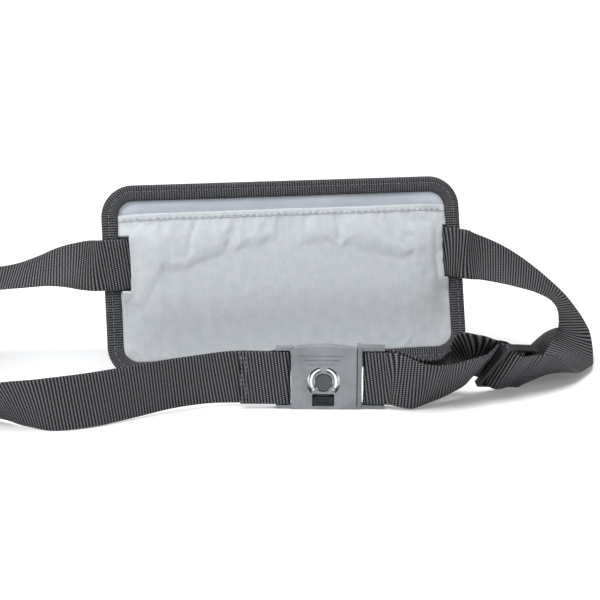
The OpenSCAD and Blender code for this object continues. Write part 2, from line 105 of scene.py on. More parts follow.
# The strap's route: each point is x, y, z and the direction of the webbing's upper edge.
RUNS = {
    "left_front": [
        buckle_point(-26, 2.4),
        [-36, -53.5, 14.9, 0, 0, 1],
        [-50, -52.3, 14.3, 0, -0.12, 1],
        [-67, -55.5, 13.8, -0.05, -0.15, 1],
        [-85, -62.5, 13.3, -0.08, -0.08, 1],
        [-104, -69.5, 12.9, -0.15, 0, 1],
        [-122, -71.5, 12.6, -0.25, -0.05, 0.95],
    ],
    "left_loop": [
        [-136, -66.5, 12.2, -0.3, -0.25, 0.9],
        [-149, -59, 11.5, -0.35, -0.5, 0.8],
        [-168, -50, 10.4, -0.4, -0.6, 0.7],
        [-190, -41, 10, -0.5, -0.6, 0.65],
        [-211, -29, 11.5, -0.65, -0.45, 0.6],
        [-225, -11, 16, -0.8, -0.1, 0.58],
        [-228, 9, 23, -0.8, 0.25, 0.52],
        [-218, 27, 31, -0.5, 0.7, 0.45],
        [-198, 38, 38, -0.15, 0.9, 0.38],
        [-172, 39.5, 43, 0.1, 0.95, 0.3],
    ],
    "left_rear": [
        [-143, 33.2, 46.6, 0.3, 0.9, 0.28],
        [-127.7, 27.5, 50.2, 0.28, 0.86, 0.42],
        [-116, 22.6, 53.6, 0.2, 0.78, 0.6],
        [-105, 18.2, 55, 0.1, 0.6, 0.8],
        pouch_point(-96, 3.9),
        pouch_point(-90, 4),
        pouch_point(-84.5, 3.6),
        pouch_point(-79.5, 3.1),
    ],
    "sleeve": [
        pouch_point(-74.5, 3.2),
        pouch_point(-64, 4.4),
        pouch_point(-44, 5.9),
        pouch_point(0, 6),
        pouch_point(44, 5.9),
        pouch_point(62, 4.4),
        pouch_point(71, 3.4),
        pouch_point(76.5, 2.9),
        pouch_point(80.5, 3),
    ],
    "right_rear": [
        pouch_point(84.8, 3.7, 56.3),
        pouch_point(89.5, 4.3, 55.4),
        pouch_point(94, 4.8, 54.2),
        [101.5, 12.6, 51.4, 0.15, 0.55, 0.8],
        [112, 11.9, 47.8, 0.3, 0.7, 0.62],
        [122, 9.8, 43.4, 0.4, 0.82, 0.42],
        [131.5, 6.4, 38.2, 0.5, 0.85, 0.15],
        [139.5, 1.5, 32.2, 0.62, 0.78, -0.1],
    ],
    "right_turn": [
        [143.8, -4.5, 26, 0.72, 0.64, -0.28],
        [145.3, -9.5, 19.5, 0.82, 0.46, -0.33],
        [144.8, -13.5, 13.2, 0.9, 0.3, -0.3],
        [141.5, -19, 8, 0.9, 0, -0.25],
        [134, -28, 4.8, 0.84, -0.5, -0.05],
        [125, -38, 3.8, 0.8, -0.6, 0.1],
        [117, -47.5, 5.6, 0.66, -0.55, 0.48],
        [109.9, -54, 9.1, 0.4, -0.53, 0.75],
    ],
    "glide_wrap": [
        glide_point(13, -2.8),
        glide_point(8.4, -2.8),
        glide_point(4, -3.7),
        glide_point(0, -4.2),
        glide_point(-2.8, -3.3),
        glide_point(-4.3, -0.6),
        glide_point(-5.2, 1.8),
        glide_point(-7.9, 3),
        glide_point(-11, 3.1),
    ],
    "front_layer": [
        [74.4, -67.2, 15.8, 0.32, -0.55, 0.78],
        [66, -70.8, 14.3, 0.2, -0.57, 0.8],
        [57.4, -73.1, 12.6, 0.1, -0.55, 0.84],
        [50, -75.6, 12.3, 0.1, -0.45, 0.88],
        [44, -76.5, 12.5, 0.08, -0.3, 0.95],
        [38.5, -74.5, 13.7, 0.03, -0.12, 0.99],
        [34, -71.8, 14.9, 0, 0, 1],
    ],
    "bar_fold": [
        buckle_point(28.6, 0.6),
        buckle_point(25, 0.8),
        buckle_point(21.8, 0.9),
        buckle_point(19.5, 1.7),
        buckle_point(18.8, 3.1),
        buckle_point(19.5, 4.6),
        buckle_point(21.8, 5.4),
        buckle_point(25, 5.6),
        buckle_point(29.4, 5.5),
    ],
    "rear_layer": [
        [37.6, -67.4, 14.7, 0, -0.08, 1],
        [45, -70.8, 13.3, 0.08, -0.34, 0.93],
        [53.5, -68, 12.9, 0.1, -0.42, 0.9],
        [59.5, -62.5, 14.2, 0.12, -0.36, 0.93],
        [64, -58, 17.3, 0.2, -0.42, 0.88],
        [69.5, -57.3, 20.6, 0.29, -0.49, 0.82],
        [75.3, -59.8, 21.5, 0.35, -0.53, 0.78],
    ],
    "glide_return": [
        glide_point(-12, 5.4),
        glide_point(-8.4, 5),
        glide_point(-5.2, 4),
        glide_point(-3.2, 1.4),
        glide_point(-2.5, -1),
        glide_point(-1, -2.3),
        glide_point(1, -2.3),
        glide_point(2.5, -1.2),
        glide_point(3.6, 0.9),
        glide_point(5.4, 2.3),
        glide_point(8.4, 2.9),
    ],
    "tail": [
        [105, -50.3, 15.2, 0.32, -0.42, 0.85],
        [110.5, -44.8, 15.8, 0.4, -0.3, 0.86],
        [115.8, -40.6, 15.9, 0.46, -0.22, 0.85],
        [121, -37.2, 15.8, 0.5, -0.18, 0.84],
    ],
}

# ---- camera, floor and light --------------------------------------------------------

CAMERA_AT = (-0.1271, -0.6744, 0.2077)
LOOKS_AT = (0.004, 0, 0.0364)

camera_data = bpy.data.cameras.new("camera")
camera_data.lens = 85
camera_data.sensor_width = 36
camera = bpy.data.objects.new("camera", camera_data)
camera.location = CAMERA_AT
aim = Vector(LOOKS_AT) - Vector(CAMERA_AT)
camera.rotation_euler = aim.to_track_quat("-Z", "Y").to_euler()
bpy.context.collection.objects.link(camera)
bpy.context.scene.camera = camera


def principled(name):
    """A new material, its nodes, its links and its Principled shader."""
    material = bpy.data.materials.new(name)
    material.use_nodes = True
    tree = material.node_tree
    return material, tree.nodes, tree.links, tree.nodes["Principled BSDF"]


# how far from the belt the floor starts and ends brightening, and its glow there
FLOOR_GLOW = (0.35, 1.3, 0.13, 0.9)


def add_floor():
    mesh = bpy.data.meshes.new("floor")
    size = 6
    corners = [(-size, -size, 0), (size, -size, 0), (size, size, 0), (-size, size, 0)]
    mesh.from_pydata(corners, [], [(0, 1, 2, 3)])
    material, nodes, links, shader = principled("floor")
    shader.inputs["Base Color"].default_value = (0.93, 0.94, 0.95, 1)
    shader.inputs["Roughness"].default_value = 0.9
    shader.inputs["Specular IOR Level"].default_value = 0.1
    shader.inputs["Emission Color"].default_value = (1, 1, 1, 1)
    away = nodes.new("ShaderNodeVectorMath")
    away.operation = "LENGTH"
    glow = nodes.new("ShaderNodeMapRange")
    for socket, value in zip(("From Min", "From Max", "To Min", "To Max"), FLOOR_GLOW):
        glow.inputs[socket].default_value = value
    spot = nodes.new("ShaderNodeTexCoord")
    links.new(spot.outputs["Object"], away.inputs[0])
    links.new(away.outputs["Value"], glow.inputs["Value"])
    links.new(glow.outputs["Result"], shader.inputs["Emission Strength"])
    mesh.materials.append(material)
    floor = bpy.data.objects.new("floor", mesh)
    bpy.context.collection.objects.link(floor)


def add_area(name, place, target, size, watts):
    data = bpy.data.lights.new(name, "AREA")
    data.shape = "DISK"
    data.size = size
    data.energy = watts
    lamp = bpy.data.objects.new(name, data)
    lamp.location = place
    direction = Vector(target) - Vector(place)
    lamp.rotation_euler = direction.to_track_quat("-Z", "Y").to_euler()
    bpy.context.collection.objects.link(lamp)


add_floor()
add_area("key", (-0.85, -0.5, 1.05), (-0.05, 0, 0.03), 0.6, 12.5)
add_area("top", (0.05, -0.05, 1.3), (0, -0.1, 0), 1.0, 13)
add_area("fill", (0.9, -0.7, 0.6), (0, 0, 0.03), 0.8, 1.5)

world = bpy.data.worlds.new("studio")
world.use_nodes = True

# the backdrop looks white, and lights the belt less than it looks
sky_nodes, sky_links = world.node_tree.nodes, world.node_tree.links
sky = sky_nodes["Background"]
sky.inputs["Color"].default_value = (1, 1, 1, 1)
sky.inputs["Strength"].default_value = 0.28
seen = sky_nodes.new("ShaderNodeBackground")
seen.inputs["Color"].default_value = (1, 1, 1, 1)
seen.inputs["Strength"].default_value = 1.05
path_kind = sky_nodes.new("ShaderNodeLightPath")
blend = sky_nodes.new("ShaderNodeMixShader")
sky_links.new(path_kind.outputs["Is Camera Ray"], blend.inputs["Fac"])
sky_links.new(sky.outputs["Background"], blend.inputs[1])
sky_links.new(seen.outputs["Background"], blend.inputs[2])
sky_links.new(blend.outputs["Shader"], sky_nodes["World Output"].inputs["Surface"])
bpy.context.scene.world = world
bpy.context.scene.view_settings.view_transform = "Standard"

# ---- materials ------------------------------------------------------------------------


def maths(nodes, links, operation, a, b):
    node = nodes.new("ShaderNodeMath")
    node.operation = operation
    for socket, value in zip(node.inputs, (a, b)):
        if isinstance(value, (int, float)):
            socket.default_value = value
        else:
            links.new(value, socket)
    return node.outputs["Value"]


def bands(nodes, links, u, v, per_u, per_v, phase=0.0):
    """Waves from 0 to 1 over the UV map, counted per millimetre along u and v."""
    turns = maths(nodes, links, "ADD", maths(nodes, links, "MULTIPLY", u, per_u * math.tau),
                  maths(nodes, links, "MULTIPLY", v, per_v * math.tau))
    swing = maths(nodes, links, "SINE", maths(nodes, links, "ADD", turns, phase), 0)
    return maths(nodes, links, "ADD", maths(nodes, links, "MULTIPLY", swing, 0.5), 0.5)


def speckle(nodes, links, vector, scale, detail=3.0):
    node = nodes.new("ShaderNodeTexNoise")
    node.inputs["Scale"].default_value = scale
    node.inputs["Detail"].default_value = detail
    links.new(vector, node.inputs["Vector"])
    return node.outputs["Fac"]


def ramp(nodes, links, factor, dark, light, low=0.0, high=1.0):
    node = nodes.new("ShaderNodeValToRGB")
    node.color_ramp.elements[0].position = low
    node.color_ramp.elements[0].color = (*dark, 1)
    node.color_ramp.elements[1].position = high
    node.color_ramp.elements[1].color = (*light, 1)
    links.new(factor, node.inputs["Fac"])
    return node.outputs["Color"]


def add_bump(nodes, links, shader, height, strength, distance):
    node = nodes.new("ShaderNodeBump")
    node.inputs["Strength"].default_value = strength
    node.inputs["Distance"].default_value = distance * MM
    links.new(height, node.inputs["Height"])
    links.new(node.outputs["Normal"], shader.inputs["Normal"])


def woven(name, dark, light, warp, weft, rough, relief, sheen=0.2, slub=0.35, twill=0.0,
          painted_crest_shade=0.45):
    """Cloth with warp and weft threads, counted per millimetre along the UV axes."""
    material, nodes, links, shader = principled(name)
    uv = nodes.new("ShaderNodeUVMap").outputs["UV"]
    split = nodes.new("ShaderNodeSeparateXYZ")
    links.new(uv, split.inputs["Vector"])
    u, v = split.outputs["X"], split.outputs["Y"]
    ribs = bands(nodes, links, u, v, warp, 0, math.pi / 2)
    picks = bands(nodes, links, u, v, twill, weft)
    threads = maths(nodes, links, "MULTIPLY", ribs,
                    maths(nodes, links, "ADD", maths(nodes, links, "MULTIPLY", picks, 0.6), 0.4))
    uneven = speckle(nodes, links, uv, slub)
    fuzz = speckle(nodes, links, uv, 9)
    # painted highlight and painted shade: the colour is lighter on the thread crests, where the
    # bump is highest, and darker between the threads; the rest of the tone is random speckle
    tone = maths(nodes, links, "MULTIPLY", threads, painted_crest_shade)
    rest = maths(nodes, links, "MULTIPLY", uneven, (1 - painted_crest_shade) * 0.75)
    tone = maths(nodes, links, "ADD", tone, rest)
    rest = maths(nodes, links, "MULTIPLY", fuzz, (1 - painted_crest_shade) * 0.25)
    tone = maths(nodes, links, "ADD", tone, rest)
    links.new(ramp(nodes, links, tone, dark, light, 0.22, 0.85), shader.inputs["Base Color"])
    height = maths(nodes, links, "ADD", threads, maths(nodes, links, "MULTIPLY", fuzz, 0.4))
    add_bump(nodes, links, shader, height, 0.6, relief)
    shader.inputs["Roughness"].default_value = rough
    shader.inputs["Sheen Weight"].default_value = sheen
    shader.inputs["Sheen Roughness"].default_value = 0.5
    shader.inputs["Specular IOR Level"].default_value = 0.2
    return material


def moulded(name, dark, light, rough, metallic=0.0, grain=2600.0, relief=0.03):
    """Moulded plastic or plated metal with a fine grain and rubbed, uneven gloss."""
    material, nodes, links, shader = principled(name)
    place = nodes.new("ShaderNodeTexCoord").outputs["Object"]
    fine = speckle(nodes, links, place, grain, 2)
    broad = speckle(nodes, links, place, 90, 4)
    tone = maths(nodes, links, "ADD", maths(nodes, links, "MULTIPLY", fine, 0.4),
                 maths(nodes, links, "MULTIPLY", broad, 0.6))
    links.new(ramp(nodes, links, tone, dark, light, 0.3, 0.7), shader.inputs["Base Color"])
    gloss = nodes.new("ShaderNodeMapRange")
    gloss.inputs["To Min"].default_value = rough - 0.07
    gloss.inputs["To Max"].default_value = rough + 0.07
    links.new(broad, gloss.inputs["Value"])
    links.new(gloss.outputs["Result"], shader.inputs["Roughness"])
    add_bump(nodes, links, shader, fine, 0.5, relief)
    shader.inputs["Metallic"].default_value = metallic
    shader.inputs["Specular IOR Level"].default_value = 0.3 if metallic < 0.5 else 0.5
    return material


# every woven cloth below has a painted highlight on its thread crests and painted shade between
# its threads; the webbing's is the strongest, from near black in the rib valleys to 0.2 on the rib
# crests, and the binding tape's is next
RIB_PITCH = 1.45
WEBBING = woven("webbing", (0.003, 0.003, 0.0035), (0.2, 0.2, 0.215), 1 / RIB_PITCH, 0.95,
                0.6, 0.3, 0.0, 0.3, 0.5 / RIB_PITCH, 0.95)
TAPE = woven("binding_tape_weave", (0.006, 0.006, 0.007), (0.17, 0.172, 0.185), 0.8, 0.8,
             0.7, 0.2, 0.0, 0.35, 0.9, 0.7)
BACK = woven("back_fabric", (0.4, 0.43, 0.455), (0.6, 0.625, 0.65), 1.1, 1.1, 0.6, 0.06,
             0.1, 0.2, 0.9, 0.35)
LINER = woven("liner_fabric", (0.48, 0.52, 0.58), (0.64, 0.69, 0.76), 1.9, 1.9, 0.6, 0.04,
              0.1, 0.12, 0.9)
FRONT = woven("front_fabric", (0.02, 0.022, 0.028), (0.085, 0.09, 0.11), 1.2, 1.2, 0.66,
              0.09, 0.1, 0.35, 0.6)
ZIP_TAPE = woven("zip_tape_weave", (0.012, 0.012, 0.014), (0.05, 0.05, 0.055), 1.4, 1.0,
                 0.7, 0.06, 0.1)
THREAD_DARK = woven("dark_thread", (0.04, 0.04, 0.044), (0.3, 0.3, 0.32), 2.0, 3.0, 0.5, 0.05)
THREAD_LIGHT = woven("light_thread", (0.25, 0.27, 0.29), (0.5, 0.53, 0.56), 2.0, 3.0, 0.5, 0.05)
BUCKLE_GREY = moulded("buckle_grey", (0.16, 0.173, 0.19), (0.29, 0.308, 0.33), 0.52)
STUD_GREY = moulded("stud_grey", (0.13, 0.14, 0.153), (0.22, 0.233, 0.25), 0.52)
DARK_PLASTIC = moulded("dark_plastic", (0.012, 0.0125, 0.014), (0.03, 0.031, 0.034), 0.5)
STUD_FACE = moulded("stud_face", (0.055, 0.06, 0.068), (0.085, 0.09, 0.1), 0.5)
STEEL = moulded("ring_steel", (0.72, 0.73, 0.75), (0.86, 0.87, 0.88), 0.22, 1.0, 900, 0.01)
ZIP_METAL = moulded("zip_metal", (0.07, 0.07, 0.075), (0.14, 0.14, 0.15), 0.35, 0.6, 1500, 0.02)
NYLON = moulded("zip_nylon", (0.015, 0.015, 0.017), (0.035, 0.035, 0.04), 0.4)

# ---- making pieces --------------------------------------------------------------------


def make_piece(name, points, faces, material, uvs=None):
    """A mesh piece from points in millimetres; uvs holds one pair for each point."""
    mesh = bpy.data.meshes.new(name)
    scaled = [(p[0] * MM, p[1] * MM, p[2] * MM) for p in points]
    mesh.from_pydata(scaled, [], faces)
    mesh.materials.append(material)
    layer = mesh.uv_layers.new(name="UVMap")
    for loop in mesh.loops:
        i = loop.vertex_index
        layer.data[loop.index].uv = uvs[i] if uvs is not None else (points[i][0], points[i][2])
    mesh.polygons.foreach_set("use_smooth", [True] * len(mesh.polygons))
    mesh.update()
    piece = bpy.data.objects.new(name, mesh)
    bpy.context.collection.objects.link(piece)
    return piece


def grid_faces(rows, columns, closed_rows=False, closed_columns=False, keep=None):
    """Quads over a grid of points stored row by row."""
    faces = []
    for i in range(rows if closed_rows else rows - 1):
        for j in range(columns if closed_columns else columns - 1):
            if keep is not None and not keep(i, j):
                continue
            a = i * columns + j
            b = i * columns + (j + 1) % columns
            c = (i + 1) % rows * columns + (j + 1) % columns
            d = (i + 1) % rows * columns + j
            faces.append((a, b, c, d))
    return faces


# ---- webbing ----------------------------------------------------------------------------

RIB_DEPTH = 0.24
RING_STEP = RIB_PITCH / 4
RIB_SLANT = 0.12
SAMPLES = 40  # between one point of a route and the next
# one face of the webbing's section: place across the width, and share of the thickness
HALF_SECTION = [(-1, 0.55), (-0.985, 0.9), (-0.93, 1), (-0.75, 1), (-0.5, 1), (-0.25, 1),
                (0, 1), (0.25, 1), (0.5, 1), (0.75, 1), (0.93, 1), (0.985, 0.9), (1, 0.55)]


def spline(a, b, c, d, t):
    return 0.5 * (2 * b + (c - a) * t + (2 * a - 5 * b + 4 * c - d) * t * t
                  + (3 * b - a - 3 * c + d) * t ** 3)


def sampled(points):
    """The route's points and upper-edge directions, closely spaced."""
    points = np.array(points, float)
    last = len(points) - 1
    rows = []
    for i in range(last):
        around = [points[max(i - 1, 0)], points[i], points[i + 1], points[min(i + 2, last)]]
        rows += [spline(*around, k / SAMPLES) for k in range(SAMPLES)]
    return np.array(rows + [points[last]])


def frames_along(points):
    """Even rings along a route: lengths, centres, and the directions across and through."""
    rows = sampled(points)
    place, upper = rows[:, :3], rows[:, 3:]
    steps = np.linalg.norm(np.diff(place, axis=0), axis=1)
    run = np.concatenate([[0], np.cumsum(steps)])
    along = np.arange(0, run[-1], RING_STEP)
    centre = np.stack([np.interp(along, run, place[:, k]) for k in range(3)], axis=1)
    edge = np.stack([np.interp(along, run, upper[:, k]) for k in range(3)], axis=1)
    tangent = np.gradient(centre, axis=0)
    tangent /= np.linalg.norm(tangent, axis=1)[:, None]
    across = edge - tangent * np.sum(edge * tangent, axis=1)[:, None]
    across /= np.linalg.norm(across, axis=1)[:, None]
    through = np.cross(tangent, across)
    return along, centre, across, through


def webbing(name, along, centre, across, through):
    """A ribbed ribbon, closed at both ends, with its UV map in millimetres."""
    half_w, half_t = STRAP_W / 2, STRAP_T / 2
    loop = [(x, t, 1) for x, t in HALF_SECTION] + [(x, t, -1) for x, t in reversed(HALF_SECTION)]
    points, uvs = [], []
    for s, c, w, n in zip(along, centre, across, through):
        for x, t, side in loop:
            phase = 2 * math.pi * (s + RIB_SLANT * x * half_w * side) / RIB_PITCH
            rib = RIB_DEPTH * (0.5 + 0.5 * math.cos(phase)) if abs(x) < 0.95 else 0.05
            out = side * (half_t * t - RIB_DEPTH + rib)
            points.append(c + w * (x * half_w) + n * out)
            uvs.append((s + RIB_SLANT * x * half_w * side, x * half_w + side * 40))
    count = len(loop)
    faces = grid_faces(len(along), count, closed_columns=True)
    last = (len(along) - 1) * count
    faces.append(tuple(range(count)))
    faces.append(tuple(last + k for k in reversed(range(count))))
    return make_piece(name, points, faces, WEBBING, uvs)


def whole_strap():
    """Rings along the whole strap, and the length at which each run starts."""
    route, starts = [], {}
    for name, points in RUNS.items():
        starts[name] = len(route)
        route += points
    rows = sampled(route)
    lengths = np.linalg.norm(np.diff(rows[:, :3], axis=0), axis=1)
    run = np.concatenate([[0], np.cumsum(lengths)])
    at = {name: run[min(i * SAMPLES, len(run) - 1)] for name, i in starts.items()}
    return frames_along(route), at, run[-1]


def strap_piece(name, rings, start, end):
    along = rings[0]
    chosen = (along >= start - RING_STEP) & (along <= end)
    return webbing(name, *(part[chosen] for part in rings))


def add_strap():
    rings, at, total = whole_strap()
    front = strap_piece("strap_near_left", rings, at["left_front"], at["left_loop"])
    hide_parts("strap_left_front")
    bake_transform(front)
    back = strap_piece("strap_round_pouch", rings, at["left_loop"], at["right_turn"])
    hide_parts("strap_left_loop", "strap_left_rear", "strap_sleeve_run",
                "strap_right_rear")
    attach(back, "pouch_and_strap")
    turn = strap_piece("strap_right_turn_run", rings, at["right_turn"], at["glide_wrap"])
    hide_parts("strap_right_turn")
    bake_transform(turn)
    wrap = strap_piece("strap_over_adjuster", rings, at["glide_wrap"], at["front_layer"])
    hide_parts("strap_glide_wrap")
    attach(wrap, "adjuster")
    layer = strap_piece("strap_to_buckle", rings, at["front_layer"], at["bar_fold"])
    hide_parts("strap_front_layer")
    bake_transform(layer)
    fold = strap_piece("strap_bar_turn", rings, at["bar_fold"], at["rear_layer"])
    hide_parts("strap_bar_fold")
    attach(fold, "pouch_and_strap")
    rear = strap_piece("strap_second_layer", rings, at["rear_layer"], at["glide_return"])
    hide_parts("strap_rear_layer")
    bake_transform(rear)
    tail = strap_piece("strap_tail_run", rings, at["glide_return"], total)
    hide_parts("strap_glide_return", "strap_tail")
    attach(tail, "adjuster")


def add_end_fold():
    """The sewn end: from in front of the bar, round it, and back against the strap."""
    bar_x, bar_y, radius, free_x = -17.8, 2.9, 2.1, -38.5
    path = [(x, bar_y - radius) for x in np.linspace(free_x, bar_x, 8)]
    path += [(bar_x + radius * math.sin(a), bar_y - radius * math.cos(a))
             for a in np.linspace(0.3, math.pi - 0.3, 6)]
    path += [(bar_x, bar_y + radius), (-21, bar_y + radius - 0.1), (-23.4, 3.5), (-25.8, 2.4)]
    rings = frames_along([buckle_point(x, y) for x, y in path])
    fold = webbing("strap_sewn_fold", *rings)
    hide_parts("strap_end_fold")
    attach(fold, "ring_half")
    seats = []
    normal = buckle(0, -1) - buckle(0, 0)
    for x in (-37.7, -35.6):
        for z in np.arange(STRAP_RISE - 12, STRAP_RISE + 10.5, 2.1):
            seats.append((buckle(x, 0.16, z), buckle(x, 0.16, z + 1.6), normal))
    thread = stitches("fold_stitches", seats, THREAD_DARK, 0.3)
    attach(thread, "ring_half")


# ---- stitching ---------------------------------------------------------------------------


def stitches(name, seats, material, radius=0.23):
    """One mesh of short thread loops; each seat is its two ends and the surface's normal."""
    points, faces = [], []
    sides, stations = 6, 6
    for a, b, normal in seats:
        a, b, normal = (np.array(x, float) for x in (a, b, normal))
        direction = (b - a) / np.linalg.norm(b - a)
        side = np.cross(direction, normal)
        base = len(points)
        for i in range(stations):
            t = i / (stations - 1)
            swell = math.sqrt(max(0.05, math.sin(math.pi * (0.06 + 0.88 * t))))
            lift = radius * (1.5 * math.sin(math.pi * t) - 0.5)
            centre = a + (b - a) * t + normal * lift
            for k in range(sides):
                angle = 2 * math.pi * k / sides
                points.append(centre + radius * swell
                              * (side * math.cos(angle) + normal * math.sin(angle)))
        faces += [tuple(base + q for q in face)
                  for face in grid_faces(stations, sides, closed_columns=True)]
        faces.append(tuple(base + k for k in reversed(range(sides))))
        last = base + (stations - 1) * sides
        faces.append(tuple(last + k for k in range(sides)))
    uvs = [(p[0], p[2]) for p in points]
    return make_piece(name, points, faces, material, uvs)


# ---- the pouch ---------------------------------------------------------------------------

INNER_W = POUCH_W / 2 - BINDING_W
TUCK = 0.8  # how far a panel's edge goes in under the binding
STITCH_PITCH, STITCH_LEN = 3.2, 2.3


def outline(inset, spacing=0.5):
    """Points and outward directions round the pouch's edge, anticlockwise in u and v."""
    r = CORNER_R - inset
    half, top = POUCH_W / 2 - inset, POUCH_H - inset
    corners = [(half - r, inset + r, -90), (half - r, top - r, 0),
               (-half + r, top - r, 90), (-half + r, inset + r, 180)]
    path = []
    for i, (cu, cv, start) in enumerate(corners):
        count = max(6, int(r * math.pi / 2 / spacing))
        for k in range(count + 1):
            a = math.radians(start + 90 * k / count)
            path.append((cu + r * math.cos(a), cv + r * math.sin(a), math.cos(a), math.sin(a)))
        nu, nv, next_start = corners[(i + 1) % 4]
        a = math.radians(next_start)
        target = (nu + r * math.cos(a), nv + r * math.sin(a))
        u, v, cu_n, cv_n = path[-1]
        count = int(math.hypot(target[0] - u, target[1] - v) / spacing)
        for k in range(1, count):
            t = k / count
            path.append((u + (target[0] - u) * t, v + (target[1] - v) * t, cu_n, cv_n))
    return path


# the binding's section: distance in from the edge, and distance from the pouch's middle
TAPE_SECTION = [(8.0, 1.5), (7.6, 1.95), (6.6, 2.15), (5.2, 2.3), (4.2, 2.25), (3.5, 2.0),
                (2.8, 2.2), (1.8, 2.35), (0.9, 2.1), (0.3, 1.4), (0.05, 0.6), (0.05, -0.6),
                (0.3, -1.4), (0.9, -2.1), (1.8, -2.35), (2.8, -2.2), (3.5, -2.0), (4.2, -2.25),
                (5.2, -2.3), (6.6, -2.15), (7.6, -1.95), (8.0, -1.5)]
STITCH_LINE = 3.5


def add_binding():
    path = outline(0)
    points, uvs = [], []
    length = 0
    for i, (u, v, nu, nv) in enumerate(path):
        before = path[i - 1]
        length += math.hypot(u - before[0], v - before[1]) if i else 0
        wave_out = 0.25 * noise.noise(Vector((u * 0.05, v * 0.05, 3)))
        for inset, d in TAPE_SECTION:
            pucker = 0.07 * math.sin(2 * math.pi * length / 3.1) * math.exp(-abs(inset - 3.5) / 2)
            sway = 0.35 * noise.noise(Vector((u * 0.07, v * 0.07, 9 + inset * 0.1)))
            d_here = d + math.copysign(pucker, d) + (0.2 * sway if inset > 4 else 0)
            edge = inset + (wave_out * 0.6 if inset > 6 else 0)
            points.append(pouch(u - nu * edge, d_here, v - nv * edge))
            uvs.append((length, edge + math.copysign(20, d)))
    points = [np.array([p[0], p[1], max(p[2], 0.02)]) for p in points]
    faces = grid_faces(len(path), len(TAPE_SECTION), closed_rows=True, closed_columns=True)
    tape = make_piece("bound_edge", points, faces, TAPE, uvs)
    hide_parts("binding_tape")
    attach(tape, "pouch_and_strap")
    seam = outline(STITCH_LINE, 0.31)
    seats = []
    for side in (1, -1):
        normal = pouch(0, side, 0) - pouch(0, 0, 0)
        for i in range(0, len(seam) - 8, 10):
            a, b = seam[i], seam[i + 7]
            seats.append((pouch(a[0], side * 2.1, a[1]), pouch(b[0], side * 2.1, b[1]), normal))
    thread = stitches("binding_stitches", seats, THREAD_DARK)
    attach(thread, "pouch_and_strap")


def smoothstep(x):
    x = min(max(x, 0.0), 1.0)
    return x * x * (3 - 2 * x)


PANEL_COLUMNS, PANEL_ROWS = 169, 74
PANEL_U = np.linspace(-INNER_W - TUCK, INNER_W + TUCK, PANEL_COLUMNS)
PANEL_V = np.linspace(BINDING_W - TUCK, HEM_V, PANEL_ROWS)
# the cloth's growth and pressure, and its largest movement any way and inwards
CLOTH_GROWTH, CLOTH_PRESSURE = 0.022, 0.4
MOST_PUCKER, MOST_SINK = 2.2, 0.15


def back_depth(u, v):
    """How far the back panel stands from the pouch's middle before it is puckered."""
    side = smoothstep((INNER_W - abs(u)) / 20) ** 0.6 if abs(u) < INNER_W else 0
    low = math.sin(math.pi / 2 * min(max(v - BINDING_W, 0) / 35, 1))
    crown = 1.1 + (BACK_BULGE - 1.1 - 1.2 * smoothstep((v - 60) / 20)) * side * low
    over_strap = 4.5 - 2.5 * smoothstep((abs(v - STRAP_V) - 12.5) / 8)
    rise = smoothstep((INNER_W + 1 - abs(u)) / 3) * smoothstep((v - BINDING_W) / 6)
    return max(crown, 1.1 + (over_strap - 1.1) * rise) if abs(u) > 60 else crown


def in_slit(u, v):
    return SLIT_V0 < v < SLIT_V1 and (u < SLIT_LEFT or u > SLIT_RIGHT)


def simulate_panel(piece, pinned, growth, pressure):
    """Lets the cloth grow a little between its seams, so that it puckers as sewn cloth does."""
    group = piece.vertex_groups.new(name="seams")
    for i, weight in pinned.items():
        group.add([i], weight, "REPLACE")
    cloth = piece.modifiers.new("cloth", "CLOTH")
    cloth.settings.quality = 6
    cloth.settings.mass = 0.2
    cloth.settings.tension_stiffness = 25
    cloth.settings.compression_stiffness = 25
    cloth.settings.bending_stiffness = 1.2
    cloth.settings.vertex_group_mass = "seams"
    cloth.settings.shrink_min = -growth
    cloth.settings.use_pressure = True
    cloth.settings.uniform_pressure_force = pressure
    cloth.settings.effector_weights.gravity = 0
    scene = bpy.context.scene
    for step in range(1, 21):
        scene.frame_set(step)
        bpy.context.view_layer.update()
    evaluated = piece.evaluated_get(bpy.context.evaluated_depsgraph_get())
    result = np.array([v.co[:] for v in evaluated.data.vertices])
    piece.modifiers.clear()
    piece.vertex_groups.clear()
    scene.frame_set(1)
    return result


def panel_grid():
    """The back panel's points row by row, in millimetres. The settled cloth's movement is
    cut short, and next to none is let inwards, so that the strap inside stays covered."""
    rest = np.array([[pouch(u, back_depth(u, v), v) for u in PANEL_U] for v in PANEL_V])
    flat = rest.reshape(-1, 3)
    faces = grid_faces(PANEL_ROWS, PANEL_COLUMNS)
    cloth = make_piece("panel_cloth", flat, faces, BACK)
    pinned = {}
    for i, v in enumerate(PANEL_V):
        for j, u in enumerate(PANEL_U):
            k = i * PANEL_COLUMNS + j
            if abs(u) > INNER_W - 1 or v < BINDING_W + 1:
                pinned[k] = 1.0
            elif i >= PANEL_ROWS - 3:
                pinned[k] = 0.25
    moved = simulate_panel(cloth, pinned, CLOTH_GROWTH, CLOTH_PRESSURE) / MM
    bpy.data.objects.remove(cloth)
    shift = moved - flat
    reach = np.linalg.norm(shift, axis=1)
    shift *= (np.minimum(reach, MOST_PUCKER) / np.maximum(reach, 1e-9))[:, None]
    outward = pouch(0, 1, 0) - pouch(0, 0, 0)
    sunk = np.minimum(shift @ outward + MOST_SINK, 0)
    shift -= sunk[:, None] * outward
    return (flat + shift).reshape(rest.shape)


